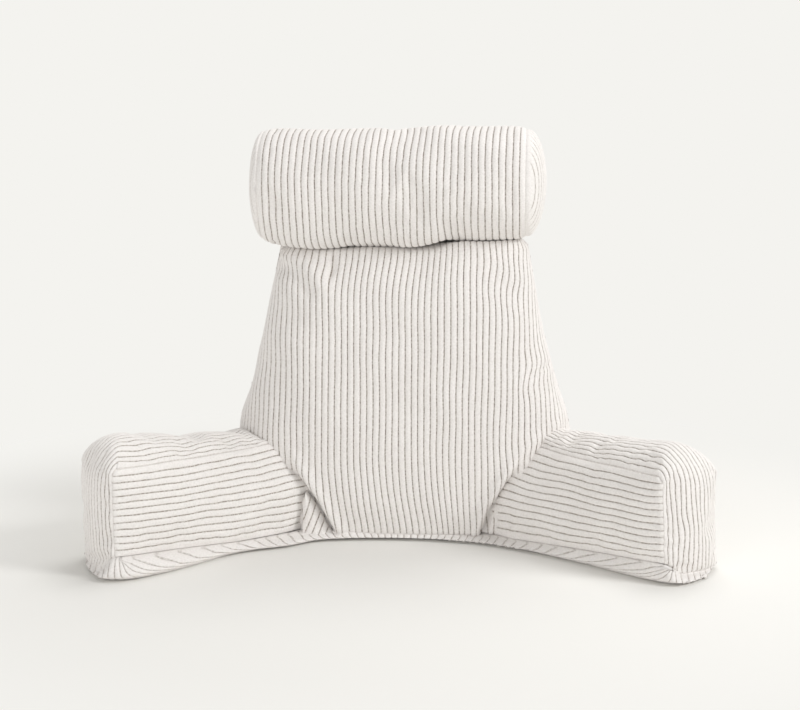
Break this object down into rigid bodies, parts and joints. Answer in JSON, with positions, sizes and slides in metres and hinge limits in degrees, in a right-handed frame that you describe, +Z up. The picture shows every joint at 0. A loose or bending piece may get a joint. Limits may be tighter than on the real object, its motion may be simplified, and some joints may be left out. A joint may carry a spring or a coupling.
{
  "type": "reading pillow",
  "caption": "Backrest reading pillow with two splayed arms and a neck roll, covered in off-white jumbo corduroy",
  "frame": {"origin": "centre of the bounding box at floor level", "axes": "x across from the left arm to the right arm, y from the front to the back, z up; the front faces -y"},
  "size_m": [0.8, 0.3996, 0.5413],
  "materials": {
    "corduroy": "plush jumbo corduroy, off-white, over a soft filling"
  },
  "bodies": {
    "root": {"backrest": "corduroy", "base_panel": "corduroy", "arm_left": "corduroy", "arm_left_inner_panel": "corduroy", "arm_left_outer_panel": "corduroy", "arm_right": "corduroy", "arm_right_inner_panel": "corduroy", "arm_right_outer_panel": "corduroy", "neck_roll": "corduroy", "neck_roll_end_left": "corduroy", "neck_roll_end_right": "corduroy"}
  },
  "joints": []
}
